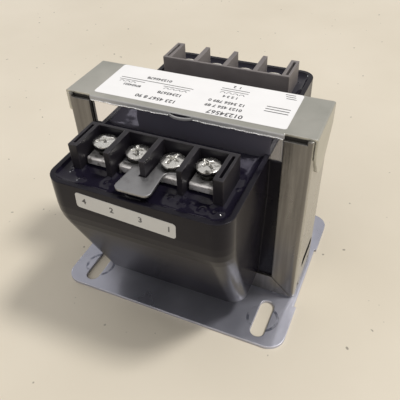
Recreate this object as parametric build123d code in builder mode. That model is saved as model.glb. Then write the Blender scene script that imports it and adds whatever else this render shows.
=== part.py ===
from build123d import *
import os

os.makedirs("parts", exist_ok=True)

# Small encapsulated control transformer, standing on its slotted base plate.
# All sizes in mm. X to the right, Y to the back, Z up, floor at zero.
# The front terminals and the front housing are on the negative Y side.

# channel frame around the core; the other widths follow from it
channel_width = 77.4
channel_depth = 23.1
sheet = 0.9
bend = 1.8
flange_width = 8.15
flange_low = 8.05
flange_gap = 0.95
mitre_slit = 0.25
mitre_end_gap = 0.5
total_height = 66.0
web_slot_y = 2.2
web_slot_z = 11.3
web_slot_length = 12.5
web_slot_height = 3.4
notch_y = 6.7
notch_width = 2.4
notch_low = 2.5
notch_high = 2.7

# base plate
plate_thick = 1.05
plate_side = 1.8
foot_reach = 21.15
plate_corner = 5.5
slot_from_side = 9.0
slot_from_end = 10.0
slot_length = 15.0
slot_width = 4.8
ledge_half = 14.3
ledge_step = 0.7
ledge_round = 0.4

# strap over the core
strap_sheet = 0.75
strap_set_back = 1.1
strap_round = 0.6
lip_half = 30.5
lip_drop = 1.6
pocket_half = 3.6
pocket_bulge = 1.2
pocket_sheet = 0.4
pocket_high = 0.8
flap_full_drop = 6.7
flap_turn_drop = 14.4
flap_drop = 16.4
flap_tip = 5.0

# winding and moulded housing
coil_slack = 1.6
coil_out = 11.4
skirt_sheet = 0.35
skirt_clear = 1.2
skirt_drop = 1.5
housing_wall = 1.5
housing_clear = 0.15
housing_corner = 5.1
rim_drop = 8.1
knee_drop = 12.7
knee_soft = 4.0
toe_gap = 0.5
toe_in = 1.35
toe_out = 5.25
resin_drop = 1.4

# terminal blocks
block_set = 10.55
block_inset = 4.55
block_rise = 7.05
barrier = 1.5
back_wall = 0.8
cap_out = 1.2
cap_in = 1.5
cap_slot = 0.9
cap_slot_wall = 1.25
cap_slot_deep = 4.0
pole_rise = 0.9
block_nose = 3.5
rim_reach = 7.9

# clamp plates, link and screws
clamp_thick = 0.8
clamp_clear = 0.825
clamp_lip = 2.1
clamp_round = 0.6
link_thick = 0.7
link_gap = 1.15
link_rim_gap = 1.0
link_round = 1.8
link_flare = 2.2
link_wing_back = 0.6
link_notch_clear = 0.3
link_tab_in = 0.1
head_inset = 0.3
head_back = 0.7
head_front = 0.2
head_rim = 1.8
head_high = 2.4
head_top_share = 0.6
shank_share = 0.56
shank_clear = 0.3
bore_floor = 0.5
bore_spare = 0.3
cross_share = 1.1
cross_wide = 1.0
cross_deep = 1.2
slot_deep = 0.9
end_screw_lift = 1.7
screw_turns = (25, 70, 110, 40)

# labels
rating_half = 30.3
rating_back_gap = 0.75
rating_front_gap = 2.25
label_corner = 0.9
label_thick = 0.15
strip_x = -2.1
strip_drop = 5.1
strip_length = 29.6
strip_height = 5.1
strip_tilt = 3.1

# sizes that follow from the ones above
channel_top = total_height - strap_sheet
strap_depth = channel_depth - 2 * strap_set_back
core_low = plate_thick + sheet
core_half = channel_width / 2 - sheet
flange_in = channel_depth / 2 - sheet
core_face = flange_in - skirt_sheet
core_depth = 2 * core_face
lip_face = core_face + strap_sheet
rating_back = lip_face - rating_back_gap
rating_front = lip_face - rating_front_gap
leg_in = channel_width / 2 - flange_width
flange_bottom = plate_thick + flange_low
tongue_half = core_half / 3
window_half = 2 * tongue_half
yoke = tongue_half
window_low = core_low + yoke
window_high = channel_top - yoke

plate_width = channel_width + 2 * plate_side
plate_depth = channel_depth + 2 * foot_reach
slot_x = plate_width / 2 - slot_from_side
slot_y = plate_depth / 2 - slot_from_end

coil_half = window_half - coil_slack
coil_face = core_face + coil_out
housing_half = window_half + housing_clear + housing_wall
rim_z = total_height - rim_drop
knee_z = rim_z - knee_drop
resin_z = rim_z - resin_drop
skirt_z = rim_z - skirt_drop
toe_z = flange_bottom + toe_gap
toe_half = housing_half - toe_in
toe_front = coil_face + toe_out

block_half = housing_half - block_inset
pitch = (block_half - cap_out) / 2
clamp_half = (pitch - barrier) / 2 - clamp_clear
head_r = clamp_half - head_inset
shank_r = head_r * shank_share
block_rear = channel_depth / 2 + block_set
wall_face = block_rear + back_wall
screw_y = wall_face + head_back + head_r
pole_front = screw_y + head_r + head_front
block_front = pole_front + block_nose
housing_front = block_front + rim_reach
block_top = rim_z + block_rise
pole_z = rim_z + pole_rise
clamp_top = pole_z + clamp_thick
link_top = clamp_top + link_thick
bore_low = resin_z + bore_floor
shank_low = bore_low + bore_spare
bore_r = shank_r + shank_clear
link_front = housing_front - link_rim_gap
link_wing = pole_front - link_wing_back
middle_pole = pitch / 2
end_pole = (3 * pitch + barrier / 2 - cap_in) / 2
pole_places = (-end_pole, -middle_pole, middle_pole, end_pole)

up = (Align.CENTER, Align.CENTER, Align.MIN)
down = (Align.CENTER, Align.CENTER, Align.MAX)
forward = (Align.CENTER, Align.MAX, Align.MIN)

# base plate with four slots and a step in each side edge beside the frame
with BuildPart() as base_plate:
    with BuildSketch():
        RectangleRounded(plate_width, plate_depth, plate_corner)
    extrude(amount=plate_thick)
    with Locations((plate_width / 2, 0, 0), (-plate_width / 2, 0, 0)):
        Box(2 * ledge_step, 2 * ledge_half, 4 * plate_thick, mode=Mode.SUBTRACT)
    side_edges = base_plate.edges().filter_by(Axis.Y).group_by(SortBy.LENGTH)[-1]
    fillet(side_edges, ledge_round)
    with BuildSketch():
        with GridLocations(2 * slot_x, 2 * slot_y, 2, 2):
            SlotOverall(slot_length, slot_width, rotation=90)
    extrude(amount=plate_thick, mode=Mode.SUBTRACT)

# channel frame: bottom, two side webs, flanges turned over front and back
with BuildPart() as channel_frame:
    with Locations((0, 0, plate_thick)):
        Box(channel_width, channel_depth, channel_top - plate_thick, align=up)
    fillet(channel_frame.edges().filter_by(Axis.Z), bend)
    chamfer(channel_frame.faces().sort_by(Axis.Z)[0].edges(), bend - sheet)
    with BuildSketch(Plane.XY.offset(core_low)):
        RectangleRounded(2 * core_half, 2 * flange_in, bend - sheet)
    extrude(amount=total_height, mode=Mode.SUBTRACT)
    with Locations((0, 0, flange_bottom)):
        Box(2 * leg_in, 2 * channel_depth, total_height, align=up, mode=Mode.SUBTRACT)
    with Locations((0, -flange_in, channel_top), (0, flange_in, channel_top)):
        Box(
            channel_width - 2 * bend, 3 * sheet, 2 * flange_gap,
            mode=Mode.SUBTRACT,
        )
    # mitre slits in the flanges, at 45 degrees from the inner corner
    mitre_run = core_half - leg_in
    mitre_length = mitre_run * 2**0.5
    mitre_mid_x = leg_in + mitre_run / 2 - mitre_end_gap
    mitre_mid_z = flange_bottom - mitre_run / 2 + mitre_end_gap
    with Locations(
        Location((mitre_mid_x, 0, mitre_mid_z), (0, 45, 0)),
        Location((-mitre_mid_x, 0, mitre_mid_z), (0, -45, 0)),
    ):
        Box(mitre_length, 2 * channel_depth, mitre_slit, mode=Mode.SUBTRACT)
    # slots and small notches in the two webs
    with BuildSketch(Plane.YZ):
        with Locations((web_slot_y, web_slot_z)):
            SlotOverall(web_slot_length, web_slot_height)
        with Locations((-notch_y, notch_low), (notch_y, notch_low)):
            Rectangle(notch_width, notch_high, align=(Align.CENTER, Align.MIN))
    extrude(amount=channel_width, both=True, mode=Mode.SUBTRACT)

# strap over the core: turned-down lips with a small pocket, and side flaps
with BuildPart() as top_strap:
    with Locations((0, 0, channel_top)):
        Box(channel_width + 2 * strap_sheet, strap_depth, strap_sheet, align=up)
        Box(2 * lip_half, 2 * lip_face, strap_sheet, align=up)
    with BuildSketch(Plane.YZ.offset(channel_width / 2)):
        with BuildLine():
            Polyline(
                (-flap_tip, total_height - flap_turn_drop),
                (-strap_depth / 2, total_height - flap_full_drop),
                (-strap_depth / 2, total_height),
                (strap_depth / 2, total_height),
                (strap_depth / 2, total_height - flap_full_drop),
                (flap_tip, total_height - flap_turn_drop),
            )
            ThreePointArc(
                (flap_tip, total_height - flap_turn_drop),
                (0, total_height - flap_drop),
                (-flap_tip, total_height - flap_turn_drop),
            )
        make_face()
    extrude(amount=strap_sheet)
    with Locations((0, -core_face, total_height)):
        Box(
            2 * lip_half, strap_sheet, lip_drop,
            align=(Align.CENTER, Align.MAX, Align.MAX),
        )
    with BuildSketch(Plane.XY.offset(total_height - lip_drop)):
        with BuildLine():
            outer = ThreePointArc(
                (-pocket_half, -lip_face),
                (0, -lip_face - pocket_bulge),
                (pocket_half, -lip_face),
            )
            inner = ThreePointArc(
                (pocket_sheet - pocket_half, -lip_face),
                (0, -lip_face - pocket_bulge + pocket_sheet),
                (pocket_half - pocket_sheet, -lip_face),
            )
            Line(outer @ 0, inner @ 0)
            Line(outer @ 1, inner @ 1)
        make_face()
    extrude(amount=pocket_high)
    with Locations((0, -core_face, total_height - lip_drop)):
        Box(
            2 * pocket_half - 4 * pocket_sheet, strap_sheet, pocket_high,
            align=forward, mode=Mode.SUBTRACT,
        )
    mirror(top_strap.part, about=Plane.YZ)
    mirror(top_strap.part, about=Plane.XZ)
    strap_top = top_strap.faces().sort_by(Axis.Z)[-1]
    lip_folds = strap_top.edges().filter_by(Axis.X).group_by(SortBy.LENGTH)[-1]
    flap_folds = strap_top.edges().filter_by(Axis.Y).group_by(SortBy.LENGTH)[-1]
    fillet(lip_folds + flap_folds, strap_round)

# laminated core, the three-legged part below and the bar on top, with its
# outer corners eased for the bends of the frame
with BuildPart() as core_e_stack:
    with Locations((0, 0, core_low)):
        Box(2 * core_half, core_depth, window_high - core_low, align=up)
    fillet(core_e_stack.edges().filter_by(Axis.Z), bend - sheet)
    window_mid = (tongue_half + window_half) / 2
    with Locations((window_mid, 0, window_low), (-window_mid, 0, window_low)):
        Box(
            window_half - tongue_half, 2 * core_depth, total_height,
            align=up, mode=Mode.SUBTRACT,
        )

with BuildPart() as core_i_stack:
    with Locations((0, 0, window_high)):
        Box(2 * core_half, core_depth, yoke, align=up)
    fillet(core_i_stack.edges().filter_by(Axis.Z), bend - sheet)

# winding around the middle leg, sealed inside the housings
with BuildPart() as winding_coil:
    with Locations((0, 0, window_low)):
        Box(2 * coil_half, 2 * coil_face, window_high - window_low, align=up)
        Box(
            2 * tongue_half, core_depth, total_height,
            align=up, mode=Mode.SUBTRACT,
        )


def rounded_outline(half, front, inset):
    """Outline shared by both tubs, drawn in from the outside by inset."""
    RectangleRounded(
        2 * (half - inset), 2 * (front - inset), housing_corner - inset
    )


def tub_shape(inset, top):
    """Upright rim, a softly rounded knee and an apron that slopes in to the toe."""
    with BuildPart() as shape:
        with BuildSketch(Plane.XY.offset(top)):
            rounded_outline(housing_half, housing_front, inset)
        for step in (0, 1 / 3, 2 / 3, 1):
            share = step**2 * knee_soft / (knee_z - toe_z)
            with BuildSketch(Plane.XY.offset(knee_z + (1 - 2 * step) * knee_soft)):
                rounded_outline(
                    housing_half - share * toe_in,
                    housing_front - share * (housing_front - toe_front), inset,
                )
        with BuildSketch(Plane.XY.offset(toe_z + inset)):
            rounded_outline(toe_half, toe_front, inset)
        loft(ruled=True)
    return shape.part


tub_outside = tub_shape(0, rim_z)
tub_inside = tub_shape(housing_wall, rim_z)
tub_filling = tub_shape(housing_wall, resin_z)

# front housing: a skirt plate clamped under the flanges and the tub
with BuildPart() as front_housing:
    add(tub_outside)
    add(tub_inside, mode=Mode.SUBTRACT)
    with Locations((0, -core_face, 0)):
        Box(
            4 * housing_half, 4 * housing_front, 4 * rim_z,
            align=(Align.CENTER, Align.MIN, Align.CENTER),
            mode=Mode.SUBTRACT,
        )
    with Locations((0, -core_face, core_low)):
        Box(
            2 * (core_half - skirt_clear), skirt_sheet,
            skirt_z - core_low, align=forward,
        )
    with Locations((0, 0, window_low)):
        Box(
            2 * coil_half, 2 * coil_face, window_high - window_low,
            align=up, mode=Mode.SUBTRACT,
        )

with BuildPart() as rear_housing:
    mirror(front_housing.part, about=Plane.XZ)

# cast resin that fills the tub around the winding
with BuildPart() as front_potting:
    add(tub_filling)
    with Locations((0, -flange_in, 0)):
        Box(
            4 * housing_half, 4 * housing_front, 4 * rim_z,
            align=(Align.CENTER, Align.MIN, Align.CENTER),
            mode=Mode.SUBTRACT,
        )
    with Locations((0, 0, window_low)):
        Box(
            2 * coil_half, 2 * coil_face, window_high - window_low,
            align=up, mode=Mode.SUBTRACT,
        )

with BuildPart() as rear_potting:
    mirror(front_potting.part, about=Plane.XZ)

# front terminal block: floor, back wall, three barriers and two end caps
with BuildPart() as front_terminal_block:
    block_depth = block_front - block_rear
    block_height = block_top - resin_z
    cap_width = block_half - 2 * pitch + cap_in
    cap_mid = block_half - cap_width / 2
    with Locations((0, -block_rear, resin_z)):
        Box(
            2 * block_half, pole_front - block_rear, pole_z - resin_z,
            align=forward,
        )
        Box(2 * block_half, back_wall, block_height, align=forward)
    with Locations(
        (-pitch, -block_rear, resin_z),
        (0, -block_rear, resin_z),
        (pitch, -block_rear, resin_z),
    ):
        Box(barrier, block_depth, block_height, align=forward)
    with Locations((cap_mid, -block_rear, resin_z), (-cap_mid, -block_rear, resin_z)):
        Box(cap_width, block_depth, block_height, align=forward)
    block_mid = block_rear + block_depth / 2
    slot_run = block_depth - 2 * cap_slot_wall
    with Locations(
        (2 * pitch, -block_mid, block_top), (-2 * pitch, -block_mid, block_top)
    ):
        Box(cap_slot, slot_run, cap_slot_deep, align=down, mode=Mode.SUBTRACT)
    with BuildSketch(Plane.XY.offset(bore_low)):
        for pole_x in pole_places:
            with Locations((pole_x, -screw_y)):
                Circle(bore_r)
    extrude(amount=pole_z - bore_low, mode=Mode.SUBTRACT)

with BuildPart() as rear_terminal_block:
    mirror(front_terminal_block.part, about=Plane.XZ)

# clamp plate of one pole, with its front edge turned down
with BuildPart() as clamp_blank:
    with Locations((0, -wall_face, pole_z)):
        Box(
            2 * clamp_half, pole_front + clamp_thick - wall_face, clamp_thick,
            align=forward,
        )
    with Locations((0, -pole_front, clamp_top - clamp_lip)):
        Box(2 * clamp_half, clamp_thick, clamp_lip, align=forward)
    front_edges = clamp_blank.edges().filter_by(Axis.X).group_by(Axis.Y)[0]
    fillet(front_edges.sort_by(Axis.Z)[-1], clamp_round)
    with Locations((0, -screw_y, pole_z)):
        Cylinder(bore_r, 4 * clamp_thick, mode=Mode.SUBTRACT)

# flat link that joins the two middle poles, with a rounded tab in front
wing_side = middle_pole + clamp_half - link_wing_back
neck_half = middle_pole - link_wing_back
tab_half = middle_pole - link_tab_in
with BuildPart() as jumper_link:
    with BuildSketch(Plane.XY.offset(clamp_top)):
        with BuildLine():
            Line((0, -wall_face - head_back), (wing_side, -wall_face - head_back))
            Line((wing_side, -wall_face - head_back), (wing_side, -link_wing))
            Line((wing_side, -link_wing), (neck_half + link_flare, -link_wing))
            flare = TangentArc(
                (neck_half + link_flare, -link_wing),
                (neck_half, -link_wing - link_flare),
                tangent=(-1, 0),
            )
            Line(flare @ 1, (tab_half, link_round - link_front))
            corner = TangentArc(
                (tab_half, link_round - link_front),
                (tab_half - link_round, -link_front),
                tangent=(0, -1),
            )
            Line(corner @ 1, (0, -link_front))
            Line((0, -link_front), (0, -wall_face - head_back))
        make_face()
        mirror(about=Plane.YZ)
        with Locations((0, -wall_face)):
            Rectangle(
                2 * link_gap, 2 * (block_front + link_notch_clear - wall_face),
                mode=Mode.SUBTRACT,
            )
        with Locations((-middle_pole, -screw_y), (middle_pole, -screw_y)):
            Circle(bore_r, mode=Mode.SUBTRACT)
    extrude(amount=link_thick)

# screw head with a slot and a cross recess; its underside is at zero
with BuildPart() as screw_blank:
    with BuildSketch(Plane.XZ):
        with BuildLine():
            Polyline(
                (0, head_high), (0, 0), (head_r, 0), (head_r, head_rim),
                (head_r * head_top_share, head_high), close=True,
            )
        make_face()
    revolve(axis=Axis.Z)
    with Locations((0, 0, head_high)):
        Box(
            cross_share * head_r, cross_wide, 2 * cross_deep, mode=Mode.SUBTRACT
        )
        Box(
            cross_wide, cross_share * head_r, 2 * cross_deep, mode=Mode.SUBTRACT
        )
        Box(4 * head_r, cross_wide, 2 * slot_deep, mode=Mode.SUBTRACT)

# white rating label on the strap and the strip label on the front of the tub
with BuildPart() as rating_label:
    with BuildSketch(Plane.XY.offset(total_height)):
        with Locations((0, (rating_back - rating_front) / 2)):
            RectangleRounded(
                2 * rating_half, rating_back + rating_front, label_corner
            )
    extrude(amount=label_thick)

front_plane = Plane(
    origin=(strip_x, -housing_front, rim_z - strip_drop),
    x_dir=(1, 0, 0), z_dir=(0, -1, 0),
)
with BuildPart() as terminal_label:
    with BuildSketch(front_plane):
        RectangleRounded(strip_length, strip_height, label_corner, rotation=-strip_tilt)
    extrude(amount=label_thick)

pieces = {
    "base_plate": base_plate,
    "channel_frame": channel_frame,
    "top_strap": top_strap,
    "core_e_stack": core_e_stack,
    "core_i_stack": core_i_stack,
    "winding_coil": winding_coil,
    "front_housing": front_housing,
    "rear_housing": rear_housing,
    "front_potting": front_potting,
    "rear_potting": rear_potting,
    "front_terminal_block": front_terminal_block,
    "rear_terminal_block": rear_terminal_block,
    "jumper_link": jumper_link,
    "rating_label": rating_label,
    "terminal_label": terminal_label,
}

# one clamp plate and one screw on each of the four poles, front and rear; the
# two outer screws in front stand a little higher
for number, (pole_x, turn) in enumerate(zip(pole_places, screw_turns), start=1):
    seat = link_top if number in (2, 3) else clamp_top + end_screw_lift
    with BuildPart() as front_clamp:
        with Locations((pole_x, 0, 0)):
            add(clamp_blank.part)
    with BuildPart() as rear_clamp:
        mirror(front_clamp.part, about=Plane.XZ)
    with BuildPart() as front_screw:
        with Locations((pole_x, -screw_y, seat)):
            add(screw_blank.part, rotation=(0, 0, turn))
            Cylinder(shank_r, seat - shank_low, align=down)
    with BuildPart() as rear_screw:
        with Locations((pole_x, screw_y, clamp_top)):
            add(screw_blank.part, rotation=(0, 0, 180 - turn))
            Cylinder(shank_r, clamp_top - shank_low, align=down)
    pieces[f"front_clamp_plate_{number}"] = front_clamp
    pieces[f"rear_clamp_plate_{number}"] = rear_clamp
    pieces[f"front_screw_{number}"] = front_screw
    pieces[f"rear_screw_{number}"] = rear_screw

for name, piece in pieces.items():
    piece.part.label = name
    export_step(piece.part, f"parts/{name}.step")
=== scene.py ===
# %% [markdown]
# # A small encapsulated control transformer
#
# The object is an 80 mm wide transformer on a slotted base plate. Its frame,
# tubs and terminals come ready-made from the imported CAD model, so this file
# is about looks: materials, the poured resin, screw heads, label marks, the
# floor, the light and the camera. Blender counts in metres, and MM turns the
# millimetres of a workshop drawing into metres.

# %% Load the fixed frame
import math
import bmesh
import bpy
from mathutils import Matrix, Vector, noise


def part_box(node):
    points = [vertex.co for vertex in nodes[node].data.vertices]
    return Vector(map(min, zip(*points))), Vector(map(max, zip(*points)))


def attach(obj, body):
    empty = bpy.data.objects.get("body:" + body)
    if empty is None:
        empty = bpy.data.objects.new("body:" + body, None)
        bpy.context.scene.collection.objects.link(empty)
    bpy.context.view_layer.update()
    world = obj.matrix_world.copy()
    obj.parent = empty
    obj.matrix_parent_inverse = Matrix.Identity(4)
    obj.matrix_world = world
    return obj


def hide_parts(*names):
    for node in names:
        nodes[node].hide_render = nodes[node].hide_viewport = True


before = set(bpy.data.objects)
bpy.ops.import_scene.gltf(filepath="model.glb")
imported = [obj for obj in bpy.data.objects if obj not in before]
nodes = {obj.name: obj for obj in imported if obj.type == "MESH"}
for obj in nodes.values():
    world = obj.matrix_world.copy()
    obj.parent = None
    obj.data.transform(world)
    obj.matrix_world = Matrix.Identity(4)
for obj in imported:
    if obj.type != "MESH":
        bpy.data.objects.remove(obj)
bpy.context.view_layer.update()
MM = 0.001

# %% [markdown]
# ## Helpers for node materials
#
# A procedural material is a small graph of nodes. It could be wired by hand in
# the shader editor, but a script can be read and run again. Wiring in Python
# takes many lines, so three helpers shorten it: one adds a node and sets its
# values, one joins two sockets, and one starts a new material whose shader
# node is ready to use.

# %% Node helpers
def add_node(tree, kind, **values):
    """Add a node; a value named after a property or an input is set on it."""
    node = tree.nodes.new(kind)
    for name, value in values.items():
        if hasattr(node, name):
            setattr(node, name, value)
        else:
            node.inputs[name.replace("_", " ")].default_value = value
    return node


def join(tree, source, target):
    """Link an output socket to an input socket."""
    tree.links.new(source, target)


def start_material(name):
    """A new material with its shader and the object coordinates at hand."""
    material = bpy.data.materials.new(name)
    material.use_nodes = True
    tree = material.node_tree
    shader = tree.nodes["Principled BSDF"]
    place = add_node(tree, "ShaderNodeTexCoord").outputs["Object"]
    return material, tree, shader, place


print("node helpers:", add_node.__name__, join.__name__, start_material.__name__)

# %% [markdown]
# ## Masks
#
# A mask is a value between 0 and 1 that says where an effect shows. Most masks
# here start as a noise or a coordinate and are cut off at two limits, so that
# they go from nothing to full between them. Drawing masks by hand would also
# do, but limits in millimetres follow the part's real sizes.

# %% Mask helpers
def as_range(tree, mask, low, high, start=0.0, end=1.0):
    """Map a mask from start..end onto low..high."""
    ranged = add_node(tree, "ShaderNodeMapRange")
    ranged.inputs["From Min"].default_value = start
    ranged.inputs["From Max"].default_value = end
    ranged.inputs["To Min"].default_value = low
    ranged.inputs["To Max"].default_value = high
    join(tree, mask, ranged.inputs["Value"])
    return ranged.outputs["Result"]


def step_up(tree, value, start, end):
    """A mask that rises from 0 at start to 1 at end."""
    return as_range(tree, value, 0.0, 1.0, start, end)


def step_down(tree, value, start, end):
    """A mask that falls from 1 at start to 0 at end."""
    return as_range(tree, value, 1.0, 0.0, start, end)


def times(tree, first, second):
    """Product of two masks."""
    product = add_node(tree, "ShaderNodeMath", operation="MULTIPLY", use_clamp=True)
    join(tree, first, product.inputs[0])
    join(tree, second, product.inputs[1])
    return product.outputs["Value"]


def plus(tree, first, second, share):
    """first + share * second, kept between 0 and 1."""
    node = add_node(tree, "ShaderNodeMath", operation="MULTIPLY_ADD", use_clamp=True)
    join(tree, second, node.inputs[0])
    node.inputs[1].default_value = share
    join(tree, first, node.inputs[2])
    return node.outputs["Value"]


def noise_value(tree, place, scale, **values):
    """The 0 to 1 value of a noise texture at these coordinates."""
    texture = add_node(tree, "ShaderNodeTexNoise", Scale=scale, **values)
    join(tree, place, texture.inputs["Vector"])
    return texture.outputs["Fac"]


print("mask helpers:", step_up.__name__, step_down.__name__, times.__name__)

# %% [markdown]
# ## Node groups
#
# An effect that several finishes share is built once, as a group with named
# inputs and outputs, and placed in each material with its own values. The
# same nodes could stand in every material, but then each change would have to
# be made many times.

# %% Group helpers
FLOAT, VECTOR = "NodeSocketFloat", "NodeSocketVector"


def start_group(name, inputs, outputs):
    """A new node group with the named inputs and outputs."""
    tree = bpy.data.node_groups.new(name, "ShaderNodeTree")
    for label, kind, value in inputs:
        socket = tree.interface.new_socket(
            name=label, in_out="INPUT", socket_type=kind
        )
        if value is not None:
            socket.default_value = value
    for label, kind in outputs:
        tree.interface.new_socket(name=label, in_out="OUTPUT", socket_type=kind)
    entry = tree.nodes.new("NodeGroupInput")
    leave = tree.nodes.new("NodeGroupOutput")
    return tree, entry.outputs, leave.inputs


def place_group(tree, group, place, **values):
    """Put a node group into a material and give it the coordinates."""
    node = tree.nodes.new("ShaderNodeGroup")
    node.node_tree = group
    for name, value in values.items():
        node.inputs[name.replace("_", " ")].default_value = value
    join(tree, place, node.inputs["Place"])
    return node


print("socket kinds for groups:", FLOAT, VECTOR)

# %% [markdown]
# ## Effects shared by several finishes
#
# Real sheet metal is never one even tone. It is cloudy where the zinc was
# laid thicker, it has fine scratches, and its edges are rubbed bright. Each
# effect is built once as a node group that only puts out a mask or a normal,
# so every metal and moulding can use it with its own strength. The clouds are
# two noises: a broad one for the tone and a fine one for the grain.

# %% Group: clouds and fine grain
def make_clouds():
    """Broad and fine variation between 0 and 1."""
    tree, entry, leave = start_group(
        "clouds_and_grain",
        [("Place", VECTOR, None), ("Broad", FLOAT, 60.0), ("Fine", FLOAT, 900.0)],
        [("Clouds", FLOAT), ("Grain", FLOAT)],
    )
    broad = add_node(tree, "ShaderNodeTexNoise", Detail=4.0, Roughness=0.55)
    fine = add_node(tree, "ShaderNodeTexNoise", Detail=3.0, Roughness=0.6)
    for texture, scale in ((broad, entry["Broad"]), (fine, entry["Fine"])):
        join(tree, entry["Place"], texture.inputs["Vector"])
        join(tree, scale, texture.inputs["Scale"])
    join(tree, broad.outputs["Fac"], leave["Clouds"])
    join(tree, fine.outputs["Fac"], leave["Grain"])
    return tree


clouds_group = make_clouds()
print("cloud group sockets:", [i.name for i in clouds_group.interface.items_tree])

# %% [markdown]
# On the real parts an edge is bright because hands and tools rub the coating
# off it. Edges could be painted one by one. The Bevel node finds them all: it
# gives a normal that is rounded at edges only, so where it departs from the
# true normal there is an edge. The same rounded normal also makes sharp CAD
# edges catch the light. A noise breaks the mask up, as real wear is uneven.

# %% Group: edges rubbed bright
EDGE_RADIUS = 0.45 * MM


def make_edges():
    """A mask that is 1 on outer edges, broken up, and a softened normal."""
    tree, entry, leave = start_group(
        "rubbed_edges",
        [("Place", VECTOR, None), ("Amount", FLOAT, 1.0)],
        [("Mask", FLOAT), ("Normal", VECTOR)],
    )
    soft = add_node(tree, "ShaderNodeBevel", samples=6, Radius=EDGE_RADIUS)
    flat = add_node(tree, "ShaderNodeNewGeometry")
    agree = add_node(tree, "ShaderNodeVectorMath", operation="DOT_PRODUCT")
    join(tree, soft.outputs["Normal"], agree.inputs[0])
    join(tree, flat.outputs["Normal"], agree.inputs[1])
    edge = step_up(tree, agree.outputs["Value"], 0.995, 0.80)
    patches = noise_value(tree, entry["Place"], 420.0, Detail=3.0)
    broken = times(tree, edge, step_up(tree, patches, 0.38, 0.62))
    join(tree, times(tree, broken, entry["Amount"]), leave["Mask"])
    join(tree, soft.outputs["Normal"], leave["Normal"])
    return tree


edges_group = make_edges()
print("edge group sockets:", [i.name for i in edges_group.interface.items_tree])

# %% [markdown]
# Handling leaves thin scratches in all directions. They could be drawn in a
# paint program, or made from noise that is stretched until it turns into
# streaks. The second way needs no image and can be turned and scaled for each
# part. Two layers at different angles are enough to look random.

# %% Group: scratches
SCRATCH_TURNS = (0.5, 2.1)


def make_scratches():
    """Thin scratches in two directions, as a mask."""
    tree, entry, leave = start_group(
        "thin_scratches",
        [("Place", VECTOR, None), ("Scale", FLOAT, 120.0)],
        [("Mask", FLOAT)],
    )
    larger = add_node(tree, "ShaderNodeMath", operation="MAXIMUM")
    for layer, turn in enumerate(SCRATCH_TURNS):
        turned = add_node(
            tree, "ShaderNodeMapping",
            Rotation=(0.3, 0.2, turn), Scale=(1.0, 0.035, 0.3),
        )
        join(tree, entry["Place"], turned.inputs["Vector"])
        streak = add_node(tree, "ShaderNodeTexNoise", Detail=2.0, Distortion=0.4)
        join(tree, turned.outputs["Vector"], streak.inputs["Vector"])
        join(tree, entry["Scale"], streak.inputs["Scale"])
        thin = step_up(tree, streak.outputs["Fac"], 0.70, 0.78)
        join(tree, thin, larger.inputs[layer])
    join(tree, larger.outputs["Value"], leave["Mask"])
    return tree


scratch_group = make_scratches()
print("shared groups:", [g.name for g in bpy.data.node_groups])

# %% [markdown]
# ## Colours and bumps
#
# Every finish blends two colours by a mask and lays a bump or two over the
# softened edge normal. A bump only tilts the light on a surface. It is right
# for grain too fine to model, and anything larger is modelled as a shape.

# %% Colour and bump helpers
def mix_colours(tree, mask, first, second):
    """Blend two colours, each an RGB triple or a socket, by a mask socket."""
    mix = add_node(tree, "ShaderNodeMix", data_type="RGBA")
    join(tree, mask, mix.inputs["Factor"])
    for slot_name, value in (("A", first), ("B", second)):
        socket = [s for s in mix.inputs if s.name == slot_name and s.type == "RGBA"][0]
        if isinstance(value, tuple):
            socket.default_value = (*value, 1.0)
        else:
            join(tree, value, socket)
    return [s for s in mix.outputs if s.type == "RGBA"][0]


def add_bump(tree, height, depth, normal=None):
    """Bump of the given depth in metres over an optional first normal."""
    bump = add_node(tree, "ShaderNodeBump", Strength=1.0, Distance=depth)
    join(tree, height, bump.inputs["Height"])
    if normal is not None:
        join(tree, normal, bump.inputs["Normal"])
    return bump.outputs["Normal"]


print("finish helpers:", mix_colours.__name__, add_bump.__name__)

# %% [markdown]
# ## Sheet metal
#
# The frame, strap and base plate are zinc-coated steel. A photograph could be
# wrapped round them, but it would show seams and fixed reflections. Nodes give
# one recipe with different tones: a metallic shader, clouds in colour and
# roughness, a few scratches, and edges rubbed brighter than the faces. The
# recipe is a function, so that each sheet gets its own colours from the same
# steps.

# %% Zinc-coated sheet
def zinc_sheet(name, dark, light, edge_tone, rough, metallic, cloud_scale=55.0):
    """Zinc sheet; also returns the sockets that a part may still change."""
    material, tree, shader, place = start_material(name)
    clouds = place_group(tree, clouds_group, place, Broad=cloud_scale, Fine=1500.0)
    edges = place_group(tree, edges_group, place, Amount=0.8)
    scratches = place_group(tree, scratch_group, place, Scale=160.0)
    cloudy = clouds.outputs["Clouds"]
    tone = mix_colours(tree, step_up(tree, cloudy, 0.35, 0.65), dark, light)
    tone = mix_colours(tree, edges.outputs["Mask"], tone, edge_tone)
    join(tree, tone, shader.inputs["Base Color"])
    dulled = as_range(tree, cloudy, rough - 0.06, rough + 0.08, 0.3, 0.7)
    dulled = plus(tree, dulled, scratches.outputs["Mask"], 0.12)
    join(tree, dulled, shader.inputs["Roughness"])
    shader.inputs["Metallic"].default_value = metallic
    normal = add_bump(tree, cloudy, 0.25 * MM, edges.outputs["Normal"])
    normal = add_bump(tree, scratches.outputs["Mask"], -0.01 * MM, normal)
    normal = add_bump(tree, clouds.outputs["Grain"], 0.006 * MM, normal)
    join(tree, normal, shader.inputs["Normal"])
    return material, tree, shader, place, tone, normal


print("groups that a sheet finish uses:", len(bpy.data.node_groups))

# %% [markdown]
# ## One mask for both sides
#
# The object is the same on both sides of its middle. A mask could be made for
# each side, but absolute values of the coordinates fold the sides together, so
# that one mask does for both.

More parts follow.
